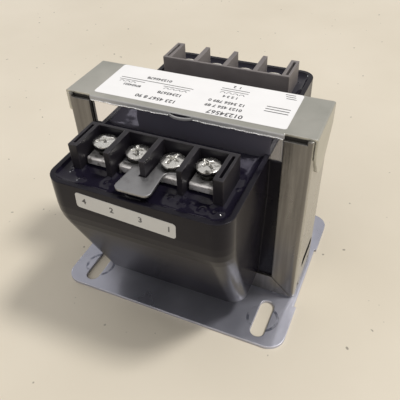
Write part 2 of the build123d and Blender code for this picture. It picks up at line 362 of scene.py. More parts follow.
# %% Coordinates folded at the middle
def folded_axes(tree, place):
    """The sockets of |x|, |y| and z."""
    parts = add_node(tree, "ShaderNodeSeparateXYZ")
    join(tree, place, parts.inputs[0])
    sockets = []
    for axis in "XY":
        positive = add_node(tree, "ShaderNodeMath", operation="ABSOLUTE")
        join(tree, parts.outputs[axis], positive.inputs[0])
        sockets.append(positive.outputs["Value"])
    return (*sockets, parts.outputs["Z"])


# %% [markdown]
# ## The strap's lip
#
# The strap's front and back edges are rolled down over the core. The roll is
# painted an even pale grey and made less metallic, as painted sheen for the
# light its round face catches. The small pocket in the middle is open at the
# top, and its inside is painted black as shade. The piece could be cut into
# several materials, but both places are known, so masks made from the
# coordinates find them. A few smudges from handling lie on the top, where a
# noise is highest.

# %% Strap with a painted sheen on the roll and painted shade in the pocket
ROLL_Y = (10.7 * MM, 11.0 * MM)
POCKET_X, POCKET_Y = (3.1 * MM, 3.5 * MM), (11.10 * MM, 11.15 * MM)
POCKET_Z = (65.40 * MM, 65.55 * MM)
strap_finish, tree, shader, place, tone, normal = zinc_sheet(
    "strap_zinc", (0.48, 0.48, 0.43), (0.60, 0.59, 0.54), (0.80, 0.79, 0.76), 0.34, 0.9
)
across, along, height = folded_axes(tree, place)
roll = step_up(tree, along, *ROLL_Y)
pocket_shade = times(tree, roll, step_down(tree, across, *POCKET_X))
pocket_shade = times(tree, pocket_shade, step_down(tree, along, *POCKET_Y))
pocket_shade = times(tree, pocket_shade, step_down(tree, height, *POCKET_Z))
# painted sheen: the rolled lip is an even pale grey
tone = mix_colours(tree, roll, tone, (0.50, 0.50, 0.51))
smudges = noise_value(tree, place, 70.0, Detail=6.0, Roughness=0.7)
smudged = as_range(tree, smudges, 0.0, 0.7, 0.62, 0.70)
tone = mix_colours(tree, smudged, tone, (0.30, 0.29, 0.24))
# painted shade: the inside of the pocket is near black
tone = mix_colours(tree, pocket_shade, tone, (0.008, 0.008, 0.010))
join(tree, tone, shader.inputs["Base Color"])
# the roll is made less metallic for its painted sheen, and the pocket less still for
# its painted shade
roll_sheen_and_pocket_shade = plus(tree, as_range(tree, roll, 0.9, 0.25), pocket_shade, -0.25)
join(tree, roll_sheen_and_pocket_shade, shader.inputs["Metallic"])
print("strap finish nodes:", len(tree.nodes))

# %% [markdown]
# ## The slot in the frame's web
#
# Round the oval slot in each web a black rim is painted, as shade in and along
# the slot. It could be a thin ring of its own, but it has no thickness to speak
# of, so it is a mask.
# An oval slot is all the points near a short line, so the rim is a band of the
# distance to that line.

# %% Rim of the oval slot
SLOT_MIDDLE = (0.0, 2.2 * MM, 11.3 * MM)
SLOT_HALF_LINE, RIM_RADIUS, RIM_BLUR = 4.55 * MM, 2.15 * MM, 0.15 * MM


def painted_slot_shade(tree, place):
    """A mask that is 1 in and close around the web's oval slot."""
    steps = (
        ("SUBTRACT", SLOT_MIDDLE), ("ABSOLUTE", None),
        ("SUBTRACT", (0.0, SLOT_HALF_LINE, 0.0)), ("MAXIMUM", (0.0, 0.0, 0.0)),
        ("MULTIPLY", (0.0, 1.0, 1.0)), ("LENGTH", None),
    )
    socket = place
    for operation, value in steps:
        node = add_node(tree, "ShaderNodeVectorMath", operation=operation)
        join(tree, socket, node.inputs[0])
        if value:
            node.inputs[1].default_value = value
        socket = node.outputs["Value" if operation == "LENGTH" else "Vector"]
    return step_down(tree, socket, RIM_RADIUS - RIM_BLUR, RIM_RADIUS + RIM_BLUR)


print("slot rim radius in mm:", round(RIM_RADIUS / MM, 2))

# %% [markdown]
# ## The frame's flanges
#
# The frame was rolled, slit and bent, and its flanges kept the mill's upright
# grain and a dull oxide, while the webs are bright. The flanges' dark tone is
# partly that oxide and partly painted shade. Two materials could share the
# piece, but one with a mask has no hard border. The grain is noise squeezed to
# streaks along Z.

# %% Frame with grained flanges, darkened by oxide and painted shade
FLANGE_Y = (10.8 * MM, 11.1 * MM)
frame_finish, tree, shader, place, tone, normal = zinc_sheet(
    "frame_zinc", (0.40, 0.39, 0.36), (0.50, 0.49, 0.46), (0.70, 0.69, 0.66), 0.27, 0.9
)
flange = step_up(tree, folded_axes(tree, place)[1], *FLANGE_Y)
squeezed = add_node(tree, "ShaderNodeMapping", Scale=(1.0, 1.0, 0.05))
join(tree, place, squeezed.inputs["Vector"])
streaks = noise_value(tree, squeezed.outputs["Vector"], 700.0, Detail=4.0)
# painted shade: the oval slot and a thin rim round it are near black
tone = mix_colours(tree, painted_slot_shade(tree, place), tone, (0.045, 0.043, 0.040))
# the flanges' dark tone: oxide, darkened further as painted shade
oxide_and_shade = mix_colours(
    tree, step_up(tree, streaks, 0.35, 0.65),
    (0.175, 0.167, 0.160), (0.240, 0.231, 0.222),
)
join(tree, mix_colours(tree, flange, tone, oxide_and_shade), shader.inputs["Base Color"])
normal = add_bump(tree, times(tree, flange, streaks), 0.03 * MM, normal)
join(tree, normal, shader.inputs["Normal"])
print("frame finish nodes:", len(tree.nodes))

# %% [markdown]
# ## Washer marks on the base plate
#
# When the transformer was bolted down, each washer pressed a ring around the
# middle of its slot. The rings could be cut into the plate, but they are less
# deep than a hair, so a mask with a bump is enough. A ring is the set of
# points at one distance from a centre, so the mark is a band of the distance.
# All four slots are mirror images, and taking the absolute value of the
# coordinates makes one ring do for all four.

# %% Base plate with washer marks
SLOT_X, SLOT_Y = 31.5 * MM, 22.7 * MM
RING_RADIUS, RING_HALF_WIDTH = 4.9 * MM, 0.45 * MM


def ring_marks(tree, place):
    """A mask of broken rings around the four slot middles."""
    folded = add_node(tree, "ShaderNodeVectorMath", operation="ABSOLUTE")
    join(tree, place, folded.inputs[0])
    flat = add_node(tree, "ShaderNodeVectorMath", operation="MULTIPLY")
    join(tree, folded.outputs["Vector"], flat.inputs[0])
    flat.inputs[1].default_value = (1.0, 1.0, 0.0)
    distance = add_node(tree, "ShaderNodeVectorMath", operation="DISTANCE")
    join(tree, flat.outputs["Vector"], distance.inputs[0])
    distance.inputs[1].default_value = (SLOT_X, SLOT_Y, 0.0)
    band = add_node(tree, "ShaderNodeMath", operation="COMPARE")
    join(tree, distance.outputs["Value"], band.inputs[0])
    band.inputs[1].default_value = RING_RADIUS
    band.inputs[2].default_value = RING_HALF_WIDTH
    gaps = noise_value(tree, place, 300.0, Detail=2.0)
    return times(tree, band.outputs["Value"], step_up(tree, gaps, 0.38, 0.55))


plate_finish, tree, shader, place, tone, normal = zinc_sheet(
    "plate_zinc", (0.43, 0.44, 0.52), (0.58, 0.59, 0.68), (0.74, 0.74, 0.80),
    0.30, 0.78, cloud_scale=35.0,
)
rings = ring_marks(tree, place)
tone = mix_colours(tree, rings, tone, (0.20, 0.21, 0.27))
join(tree, tone, shader.inputs["Base Color"])
join(tree, add_bump(tree, rings, -0.08 * MM, normal), shader.inputs["Normal"])
print("base plate finish has", len(tree.nodes), "nodes")

# %% [markdown]
# ## The core's face
#
# The outermost lamination is a smooth, varnished sheet. It works like a dull
# mirror: the black resin in front of it makes it look black. Towards the two
# ends it mirrors the pale floor, and there its colour is painted near white and
# more metallic, as painted reflection. A plain black paint would miss that. A
# low roughness does the mirroring, with a lower metallic value in the middle.
# The painted reflection ends at a slant on one side, which follows the mirrored
# rim of the tub and is a mix of the width and the height. Behind the flanges the
# sheet is painted dark and dull, as painted shade.

# %% Core steel
SLANT, FLOOR_REFLECTION_SLANT = -1.11, (85.4 * MM, 86.0 * MM)
FLOOR_REFLECTION_END, BEHIND_FLANGE = (26.6 * MM, 27.0 * MM), (29.8 * MM, 30.3 * MM)


def core_sheet():
    """Varnished sheet, painted reflection at the ends, painted shade behind the
    flanges.
    """
    material, tree, shader, place = start_material("core_face")
    clouds = place_group(tree, clouds_group, place, Broad=45.0, Fine=700.0)
    cloudy = clouds.outputs["Clouds"]
    tone = mix_colours(tree, cloudy, (0.27, 0.26, 0.33), (0.36, 0.35, 0.42))
    sides = add_node(tree, "ShaderNodeSeparateXYZ")
    join(tree, place, sides.inputs["Vector"])
    slanted = plus(tree, sides.outputs["Z"], sides.outputs["X"], SLANT)
    floor_reflection = plus(
        tree, step_up(tree, slanted, *FLOOR_REFLECTION_SLANT),
        step_up(tree, sides.outputs["X"], *FLOOR_REFLECTION_END), 1.0,
    )
    # painted reflection: near white and more metallic where the pale floor is mirrored
    tone = mix_colours(tree, floor_reflection, tone, (0.95, 0.94, 0.97))
    # painted shade: the sheet behind the flanges is dark, rough and hardly metallic
    flange_shade = step_up(tree, folded_axes(tree, place)[0], *BEHIND_FLANGE)
    tone = mix_colours(tree, flange_shade, tone, (0.035, 0.031, 0.028))
    join(tree, tone, shader.inputs["Base Color"])
    gloss = as_range(tree, cloudy, 0.02, 0.05, 0.3, 0.7)
    join(tree, plus(tree, gloss, flange_shade, 0.6), shader.inputs["Roughness"])
    metal = as_range(tree, floor_reflection, 0.70, 0.95)
    join(tree, plus(tree, metal, flange_shade, -0.75), shader.inputs["Metallic"])
    join(tree, add_bump(tree, cloudy, 0.06 * MM), shader.inputs["Normal"])
    return material


core_finish = core_sheet()
print("core finish:", core_finish.name)

# %% [markdown]
# ## Mouldings
#
# The tubs and blocks are thermoset mouldings: nearly black, with a satin skin,
# a very fine grain and paler rubbed edges. The tubs are glossier than the
# blocks, and the rear block is a brown-grey compound. Each could be wired by
# itself, but they differ only in their values, so one function makes all, and
# the tape round the winding too.

# %% Moulded plastic
def moulding(name, dark, light, edge_tone, rough, grain_depth, shine=0.5):
    """Satin moulding with a fine grain and rubbed edges."""
    material, tree, shader, place = start_material(name)
    shader.inputs["Specular IOR Level"].default_value = shine
    clouds = place_group(tree, clouds_group, place, Broad=70.0, Fine=2200.0)
    edges = place_group(tree, edges_group, place, Amount=0.7)
    cloudy = clouds.outputs["Clouds"]
    tone = mix_colours(tree, step_up(tree, cloudy, 0.35, 0.7), dark, light)
    tone = mix_colours(tree, edges.outputs["Mask"], tone, edge_tone)
    join(tree, tone, shader.inputs["Base Color"])
    satin = as_range(tree, cloudy, rough - 0.05, rough + 0.07, 0.3, 0.7)
    join(tree, satin, shader.inputs["Roughness"])
    grain = clouds.outputs["Grain"]
    normal = add_bump(tree, grain, grain_depth, edges.outputs["Normal"])
    join(tree, normal, shader.inputs["Normal"])
    return material


tub_finish = moulding(
    "tub_moulding", (0.006, 0.005, 0.010), (0.011, 0.010, 0.015),
    (0.045, 0.042, 0.050), 0.20, 0.006 * MM, shine=0.20,
)
front_block_finish = moulding(
    "front_block_moulding", (0.009, 0.008, 0.012), (0.017, 0.015, 0.020),
    (0.095, 0.086, 0.098), 0.38, 0.010 * MM, shine=0.4,
)
rear_block_finish = moulding(
    "rear_block_moulding", (0.150, 0.134, 0.134), (0.200, 0.182, 0.180),
    (0.32, 0.29, 0.285), 0.50, 0.012 * MM,
)
winding_finish = moulding(
    "winding_tape", (0.20, 0.12, 0.05), (0.28, 0.17, 0.08),
    (0.35, 0.22, 0.10), 0.6, 0.02 * MM,
)
print("mouldings:", tub_finish.name, front_block_finish.name, rear_block_finish.name)

# %% [markdown]
# ## Cast resin
#
# The resin is black with a slight blue cast and sets glossy. Its waves could
# be faked by a bump, but they would be flat seen from the side, so the shape
# is modelled further down. The finish only adds faint ripples and a few dull
# spots where dust has settled.

# %% Resin finish
def resin():
    """Glossy black resin."""
    material, tree, shader, place = start_material("poured_resin")
    clouds = place_group(tree, clouds_group, place, Broad=90.0, Fine=500.0)
    cloudy = clouds.outputs["Clouds"]
    tone = mix_colours(tree, cloudy, (0.006, 0.005, 0.012), (0.013, 0.011, 0.022))
    join(tree, tone, shader.inputs["Base Color"])
    dusty = as_range(tree, clouds.outputs["Grain"], 0.05, 0.12, 0.40, 0.70)
    join(tree, dusty, shader.inputs["Roughness"])
    join(tree, add_bump(tree, cloudy, 0.08 * MM), shader.inputs["Normal"])
    shader.inputs["Specular IOR Level"].default_value = 0.28
    return material


resin_finish = resin()
print("resin finish:", resin_finish.name)

# %% [markdown]
# ## Bright small metal
#
# Screws, clamp plates and the link are plated steel. They are small, so what
# shows is mostly reflection: low roughness, strong small-scale dents, and dark
# grime that sits in the hollows. On the screws the rim's foot and the thread
# are painted black as shade, for the dark gap under the head. Heights in
# millimetres would need one mask for each screw. The generated coordinates run
# from 0 to 1 over each piece's own height, so one mask does for screws at
# different heights.

# %% Plated small parts
def plated(
    name, dark, light, rough, dirt_tone, dirt_low, dirt_high, dents,
    foot=0.0, metallic=1.0,
):
    """Bright plating; foot is the share of the height that is painted black as shade.
    """
    material, tree, shader, place = start_material(name)
    clouds = place_group(tree, clouds_group, place, Broad=420.0, Fine=2600.0)
    edges = place_group(tree, edges_group, place, Amount=0.9)
    cloudy = clouds.outputs["Clouds"]
    tone = mix_colours(tree, cloudy, dark, light)
    dirt = step_down(tree, cloudy, dirt_low, dirt_high)
    tone = mix_colours(tree, dirt, tone, dirt_tone)
    tone = mix_colours(tree, edges.outputs["Mask"], tone, light)
    # painted shade: the rim's foot and the thread are near black, for the dark gap
    # under the head
    if foot:
        whole = add_node(tree, "ShaderNodeTexCoord").outputs["Generated"]
        height = folded_axes(tree, whole)[2]
        foot_shade = step_down(tree, height, foot - 0.03, foot + 0.04)
        tone = mix_colours(tree, foot_shade, tone, (0.025, 0.024, 0.022))
    join(tree, tone, shader.inputs["Base Color"])
    grain = clouds.outputs["Grain"]
    worn = as_range(tree, grain, rough - 0.08, rough + 0.10, 0.35, 0.65)
    join(tree, worn, shader.inputs["Roughness"])
    shader.inputs["Metallic"].default_value = metallic
    normal = add_bump(tree, cloudy, dents, edges.outputs["Normal"])
    join(tree, normal, shader.inputs["Normal"])
    return material


screw_finish = plated(
    "screw_zinc", (0.64, 0.63, 0.60), (0.97, 0.96, 0.93), 0.24,
    (0.10, 0.095, 0.085), 0.32, 0.42, 0.12 * MM, foot=0.76,
)
clamp_finish = plated(
    "clamp_tin", (0.78, 0.76, 0.75), (0.95, 0.93, 0.92), 0.38,
    (0.38, 0.36, 0.35), 0.36, 0.46, 0.10 * MM, metallic=0.7,
)
link_finish = plated(
    "link_plate", (0.33, 0.33, 0.34), (0.40, 0.40, 0.41), 0.44,
    (0.30, 0.29, 0.30), 0.25, 0.40, 0.02 * MM,
)
print("plated finishes:", screw_finish.name, clamp_finish.name, link_finish.name)

# %% [markdown]
# ## Label film and print
#
# Labels are paper or polyester with a soft sheen. Their print could be an
# image. Here it is a thin layer of dark ink, a separate finish on separate
# geometry, which stays crisp at any distance.

# %% Label finishes
def label_film(name, dark, light):
    """Film or ink with a soft sheen."""
    material, tree, shader, place = start_material(name)
    clouds = place_group(tree, clouds_group, place, Broad=120.0, Fine=1800.0)
    cloudy = clouds.outputs["Clouds"]
    join(tree, mix_colours(tree, cloudy, dark, light), shader.inputs["Base Color"])
    sheen = as_range(tree, cloudy, 0.42, 0.55, 0.3, 0.7)
    join(tree, sheen, shader.inputs["Roughness"])
    join(tree, add_bump(tree, cloudy, 0.04 * MM), shader.inputs["Normal"])
    return material


white_finish = label_film("white_label", (0.83, 0.83, 0.84), (0.90, 0.90, 0.91))
strip_finish = label_film("strip_label", (0.56, 0.56, 0.55), (0.63, 0.63, 0.62))
ink_finish = label_film("label_ink", (0.05, 0.05, 0.055), (0.10, 0.10, 0.105))
print("label finishes:", white_finish.name, strip_finish.name, ink_finish.name)

# %% [markdown]
# ## Finishes for the ready-made parts
#
# The CAD parts keep their shape. Only their material slots are set. That could
# be done part by part, but one table from part to finish is easier to read,
# and no part is forgotten.

# %% Give the CAD nodes their finishes
finishes = {
    "base_plate": plate_finish, "channel_frame": frame_finish,
    "top_strap": strap_finish, "core_e_stack": core_finish,
    "core_i_stack": core_finish, "winding_coil": winding_finish,
    "front_housing": tub_finish, "rear_housing": tub_finish,
    "front_potting": resin_finish, "rear_potting": resin_finish,
    "front_terminal_block": front_block_finish,
    "rear_terminal_block": rear_block_finish, "jumper_link": link_finish,
    "rating_label": white_finish, "terminal_label": strip_finish,
}
for end_name in ("front", "rear"):
    for number in range(1, 5):
        finishes[f"{end_name}_screw_{number}"] = screw_finish
        finishes[f"{end_name}_clamp_plate_{number}"] = clamp_finish


def dress(piece, material):
    """Give a piece one material in its first slot."""
    piece.data.materials.clear()
    piece.data.materials.append(material)


for name, material in finishes.items():
    dress(nodes[name], material)
print("dressed nodes:", len(finishes))

# %% [markdown]
# ## Helpers for modelling by operators
#
# Meshes can be written point by point, or modelled by operators, which do
# what a click in the menus does. Operators are easier to follow. They work on
# whatever is selected, so each step starts from nothing selected. When a shape
# is done, its place is baked into its mesh, doubles are merged and normals are
# turned outwards.

# %% Selecting and baking
def deselect_all():
    """Leave edit mode and select nothing."""
    if bpy.context.object and bpy.context.object.mode != "OBJECT":
        bpy.ops.object.mode_set(mode="OBJECT")
    bpy.ops.object.select_all(action="DESELECT")


def make_active(piece):
    """Select one piece and nothing else."""
    deselect_all()
    piece.select_set(True)
    bpy.context.view_layer.objects.active = piece


def bake_place(piece):
    """Move the object's place into its mesh, merge doubles, turn normals out."""
    make_active(piece)
    bpy.ops.object.transform_apply(location=True, rotation=True, scale=True)
    bpy.ops.object.mode_set(mode="EDIT")
    bpy.ops.mesh.select_all(action="SELECT")
    bpy.ops.mesh.remove_doubles(threshold=0.002 * MM)
    bpy.ops.mesh.normals_make_consistent(inside=False)
    bpy.ops.object.mode_set(mode="OBJECT")


# %% [markdown]
# A finished piece gets its name and its finish, is shaded smooth except at
# sharp edges, and is told which body it rides on. This could be written out
# for each piece, but a forgotten step is hard to find, so one function does
# all of it.

# %% Settling a finished piece
def settle(piece, name, material, smooth=35.0):
    """Name, dress and register a finished piece."""
    piece.name = name
    piece.data.name = name
    dress(piece, material)
    make_active(piece)
    bpy.ops.object.shade_smooth_by_angle(angle=math.radians(smooth))
    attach(piece, "root")
    return piece


print("finishes to choose from:", len(bpy.data.materials))

# %% [markdown]
# ## Screw head
#
# A terminal screw has a low domed head over a tall rim that narrows towards
# its foot, with a slot and a cross recess so that either driver fits. The dome
# is part of a ball, and its height at each radius follows from the rise at the
# middle. It could be judged by eye, but the sum keeps it truly round.

# %% Screw head sizes
HEAD_R, HEAD_RIM, HEAD_HIGH = 3.4 * MM, 1.8 * MM, 2.4 * MM
DOME_RADII = (3.32, 3.1, 2.7, 2.1, 1.4, 0.7)


def dome_height(radius):
    """Height of the dome above the floor of the head at this radius."""
    rise = HEAD_HIGH - HEAD_RIM
    ball = (HEAD_R**2 + rise**2) / (2 * rise)
    return HEAD_HIGH - ball + math.sqrt(ball**2 - radius**2)


print("dome heights in mm:", [round(dome_height(r * MM) / MM, 2) for r in DOME_RADII])

# %% [markdown]
# The head could be turned from a profile with Spin. Here a cylinder is used,
# and its top face is inset again and again with a small rise each time, which
# walks up the dome ring by ring. Faces are picked by a test on their centre or
# normal, as a click on them would do.

# %% Screw head: dome
FOOT_TAPER = 0.93


def pick_faces(piece, test):
    """In edit mode, select only the faces whose centre and normal pass."""
    shape = bmesh.from_edit_mesh(piece.data)
    for face in shape.faces:
        face.select_set(test(face.calc_center_median(), face.normal))
    shape.select_flush_mode()
    bmesh.update_edit_mesh(piece.data)


def model_head():
    """The rim and the dome of a screw, standing on the origin."""
    deselect_all()
    bpy.ops.mesh.primitive_cylinder_add(
        vertices=56, radius=HEAD_R, depth=HEAD_RIM, location=(0, 0, HEAD_RIM / 2)
    )
    head = bpy.context.object
    bpy.ops.object.transform_apply(location=True, rotation=True, scale=True)
    bpy.ops.object.mode_set(mode="EDIT")
    bpy.ops.mesh.select_mode(type="FACE")
    pick_faces(head, lambda centre, normal: normal.z < -0.9)
    bpy.ops.transform.resize(value=(FOOT_TAPER, FOOT_TAPER, 1.0))
    pick_faces(head, lambda centre, normal: normal.z > 0.9)
    radius, height = HEAD_R, HEAD_RIM
    for ring in DOME_RADII:
        next_height = dome_height(ring * MM)
        bpy.ops.mesh.inset(thickness=radius - ring * MM, depth=next_height - height)
        radius, height = ring * MM, next_height
    bpy.ops.object.mode_set(mode="OBJECT")
    return head


head_blank = model_head()
print("dome faces:", len(head_blank.data.polygons))

# %% [markdown]
# A press forms the recesses with a tapered punch. Their outlines could be
# drawn into the dome by hand, but a Boolean with a tapered bar works as the
# punch does. A fine bevel then rounds every edge, because no stamped edge is
# sharp and only a rounded one catches the light.

# %% Screw head: recesses and rounded edges
# length, width, depth in mm: one bar for the slot, two for the cross
RECESS_BARS = ((5.7, 0.95, 0.8), (3.7, 1.05, 1.3), (1.05, 3.7, 1.3))
BAR_TAPER, EDGE_ROUND, SHARP_ANGLE = 0.8, 0.07 * MM, math.radians(35)


def apply_modifier(piece, kind, **values):
    """Add a modifier with these values and apply it at once."""
    bpy.context.view_layer.objects.active = piece
    modifier = piece.modifiers.new(kind.lower(), kind)
    for name, value in values.items():
        setattr(modifier, name, value)
    bpy.ops.object.modifier_apply(modifier=modifier.name)


def cut_bar(head, length, width, depth):
    """Cut a bar whose floor is narrower than its mouth."""
    deselect_all()
    bpy.ops.mesh.primitive_cube_add(
        size=1.0, location=(0, 0, HEAD_HIGH),
        scale=(length * MM, width * MM, 2 * depth * MM),
    )
    bar = bpy.context.object
    bpy.ops.object.transform_apply(location=True, rotation=True, scale=True)
    bpy.ops.object.mode_set(mode="EDIT")
    bpy.ops.mesh.select_mode(type="FACE")
    pick_faces(bar, lambda centre, normal: normal.z < -0.9)
    bpy.ops.transform.resize(value=(BAR_TAPER, BAR_TAPER, 1.0))
    bpy.ops.object.mode_set(mode="OBJECT")
    apply_modifier(head, "BOOLEAN", operation="DIFFERENCE", object=bar, solver="EXACT")
    bpy.data.objects.remove(bar)


for bar_length, bar_width, bar_depth in RECESS_BARS:
    cut_bar(head_blank, bar_length, bar_width, bar_depth)
apply_modifier(
    head_blank, "BEVEL", width=EDGE_ROUND, segments=2,
    limit_method="ANGLE", angle_limit=SHARP_ANGLE,
)
print("head faces with its recesses:", len(head_blank.data.polygons))

# %% [markdown]
# Under the head is the shank, of which only a little shows above the clamp
# plate. A thread would be hidden, so a plain cylinder is joined to the head.

# %% Screw shank
SHANK_R, SHANK_LONG, SHANK_MIDDLE = 2.2 * MM, 2.8 * MM, -1.3 * MM


def join_pieces(pieces):
    """Join several meshes into the first one."""
    deselect_all()
    for piece in pieces:
        piece.select_set(True)
    bpy.context.view_layer.objects.active = pieces[0]
    bpy.ops.object.join()
    return bpy.context.object


deselect_all()
bpy.ops.mesh.primitive_cylinder_add(
    vertices=32, radius=SHANK_R, depth=SHANK_LONG, location=(0, 0, SHANK_MIDDLE)
)
shank = bpy.context.object
bpy.ops.object.mode_set(mode="EDIT")
bpy.ops.mesh.select_all(action="SELECT")
bpy.ops.mesh.subdivide(number_cuts=1)
bpy.ops.object.mode_set(mode="OBJECT")
bake_place(shank)
bake_place(head_blank)
head_blank = join_pieces([head_blank, shank])
print("screw faces:", len(head_blank.data.polygons))

# %% [markdown]
# The eight screws are copies, turned by different amounts as a hand leaves
# them. Linked copies would share one mesh, but each one's place has to be in
# its mesh, so each has its own.

# %% Place eight screws
SCREW_TURNS = {"front": (38, 118, 77, 140), "rear": (15, 95, 60, 150)}
for end_name, turns in SCREW_TURNS.items():
    for number, turn in enumerate(turns, start=1):
        node_name = f"{end_name}_screw_{number}"
        low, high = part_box(node_name)
        place_on = Vector((
            (low[0] + high[0]) / 2, (low[1] + high[1]) / 2, high[2] - HEAD_HIGH,
        ))
        screw = head_blank.copy()
        screw.data = head_blank.data.copy()
        bpy.context.scene.collection.objects.link(screw)
        screw.data.transform(
            Matrix.Translation(place_on) @ Matrix.Rotation(math.radians(turn), 4, "Z")
        )
        settle(screw, f"{node_name}_detailed", screw_finish)
        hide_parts(node_name)
bpy.data.objects.remove(head_blank)
print("screws placed:", sum(len(t) for t in SCREW_TURNS.values()))

# %% [markdown]
# ## Burr on the strap's lip
#
# The strap was sheared, and the rolled lip shows the burr as a bright, uneven
# line. A painted line would have no shine of its own, so it is modelled. A
# small circle is extruded along the edge in short steps, each a little off the
# straight line. Blender's noise vector starts from a random place that depends
# on the clock, so a seed is set first, and the burr is the same in every run.

# %% Lip burr: one bead
BURR_R, BURR_STEP, BURR_STEPS, BURR_WAVE = 0.24 * MM, 0.6 * MM, 44, 0.22
LIP_Y, LIP_Z = -11.08 * MM, 64.48 * MM
BURR_SEED = 1795889931
noise.seed_set(BURR_SEED)


def burr_bead(start_x, seed):
    """A wavy bead along X, from start_x on."""
    deselect_all()
    bpy.ops.mesh.primitive_circle_add(
        vertices=8, radius=BURR_R, fill_type="NGON",
        location=(start_x, LIP_Y, LIP_Z), rotation=(0, math.pi / 2, 0),
    )
    bead = bpy.context.object
    bpy.ops.object.transform_apply(location=True, rotation=True, scale=True)
    bpy.ops.object.mode_set(mode="EDIT")
    bpy.ops.mesh.select_all(action="SELECT")
    last = Vector((0, 0, 0))
    for step in range(1, BURR_STEPS + 1):
        wave = noise.noise_vector(Vector((0.35 * step, seed, 0.5))) * BURR_WAVE * MM
        move = (BURR_STEP, wave.y - last.y, wave.z - last.z)
        bpy.ops.mesh.extrude_region_move(TRANSFORM_OT_translate={"value": move})
        last = wave
    bpy.ops.object.mode_set(mode="OBJECT")
    return bead


print("bead length in mm:", round(BURR_STEP * BURR_STEPS / MM, 1))

# %% [markdown]
# Two beads leave the pocket in the middle of the lip free. The rear lip has
# the same two. They could be modelled again, but a copy turned half round the
# upright axis does the same and keeps the faces pointing outwards, which a
# mirror would not.

# %% Lip burr: front and rear edges
burr_finish = plated(
    "burr_zinc", (0.92, 0.92, 0.93), (1.0, 1.0, 1.0), 0.26,
    (0.50, 0.50, 0.51), 0.34, 0.40, 0.03 * MM,
)
beads = [burr_bead(-30.2 * MM, 1.0), burr_bead(3.8 * MM, 5.0)]
for front_bead in list(beads):
    rear_bead = front_bead.copy()
    rear_bead.data = front_bead.data.copy()
    bpy.context.scene.collection.objects.link(rear_bead)
    rear_bead.data.transform(Matrix.Rotation(math.pi, 4, "Z"))
    beads.append(rear_bead)
lip_burr = join_pieces(beads)
bake_place(lip_burr)
settle(lip_burr, "strap_lip_burr", burr_finish, smooth=60.0)
print("burr faces:", len(lip_burr.data.polygons))

# %% [markdown]
# ## The resin's surface
#
# Resin is poured in hot and sets with a skin that creeps up every wall, a few
# waves, and drips below the terminal block. A fluid simulation could give it,
# but the shape is simple enough to describe: the height above the pour level
# depends on the distance to the nearest wall, plus slow noise, plus some
# beads. First come the tub's sizes, the walls of the block and the beads. The
# two kinds of table are in millimetres, and y counts away from the core.

# %% Resin: sizes and walls
TUB_HALF, TUB_FRONT, TUB_BACK = 25.35 * MM, 40.5 * MM, 10.7 * MM
TUB_CORNER, POUR_LEVEL = 3.6 * MM, 56.5 * MM
# middle x, middle y, half width, half depth
BLOCK_WALLS = (
    (0.0, 26.35, 22.3, 4.25), (0.0, 28.1, 0.75, 6.0),
    (10.55, 28.1, 0.75, 6.0), (-10.55, 28.1, 0.75, 6.0),
    (20.95, 28.1, 1.35, 6.0), (-20.95, 28.1, 1.35, 6.0),
)
# x, y, radius, height
FRONT_BEADS = (
    (-17.5, 37.6, 1.0, 0.80), (-21.3, 35.4, 0.9, 0.70), (-9.7, 36.5, 0.7, 0.50),
    (8.7, 35.9, 0.6, 0.45), (12.0, 36.9, 0.8, 0.65), (14.3, 36.0, 0.55, 0.45),
    (17.9, 36.8, 0.8, 0.65), (22.2, 36.9, 1.2, 0.95), (23.6, 26.5, 0.55, 0.45),
    (-23.8, 24.0, 0.7, 0.50), (-2.0, 38.8, 1.4, 0.25),
)
REAR_BEADS = (
    (15.5, 37.6, 1.1, 0.80), (-12.0, 36.6, 0.8, 0.60), (20.0, 36.2, 0.9, 0.70),
    (24.0, 22.0, 0.6, 0.45), (-23.6, 30.0, 0.9, 0.60), (3.0, 38.2, 1.0, 0.60),
)
print("resin walls:", len(BLOCK_WALLS), "beads:", len(FRONT_BEADS) + len(REAR_BEADS))

# %% [markdown]
# Surface tension pulls the liquid up at a wall, and the pull fades quickly
# with the distance. An exponential has just that shape: full height at the
# wall and almost nothing a few millimetres away. Distances to the walls are
# worked out here, once for the block and once for the tub with its rounded
# corners, and the noise and the beads are added.

# %% Resin: height above the pour level
# height at the wall and distance of the fading, in mm
TUB_CREEP, BLOCK_CREEP, CORE_CREEP = (1.05, 0.75), (0.55, 0.60), (0.12, 0.50)
EVEN_SKIN, LEAST_SKIN = 0.20, 0.03
SLOW_WAVE, QUICK_WAVE = 0.13, 0.025
SLOW_LENGTH, QUICK_LENGTH = 7.0 * MM, 2.4 * MM


def creep(gap, high, fade):
    """Height in mm that the skin climbs at this distance from a wall."""
    return high * math.exp(-gap / (fade * MM))


def gap_to_block(x, y):
    """Distance in metres from a point to the nearest wall of the block."""
    nearest = 1.0
    for mid_x, mid_y, half_x, half_y in BLOCK_WALLS:
        out_x = max(abs(x - mid_x * MM) - half_x * MM, 0.0)
        out_y = max(abs(y - mid_y * MM) - half_y * MM, 0.0)
        nearest = min(nearest, math.hypot(out_x, out_y))
    return nearest


def gap_to_tub(x, y):
    """Distance from a point inside the tub to its rounded wall."""
    in_x, in_y = TUB_HALF - abs(x), TUB_FRONT - y
    if in_x < TUB_CORNER and in_y < TUB_CORNER:
        return TUB_CORNER - math.hypot(TUB_CORNER - in_x, TUB_CORNER - in_y)
    return min(in_x, in_y)


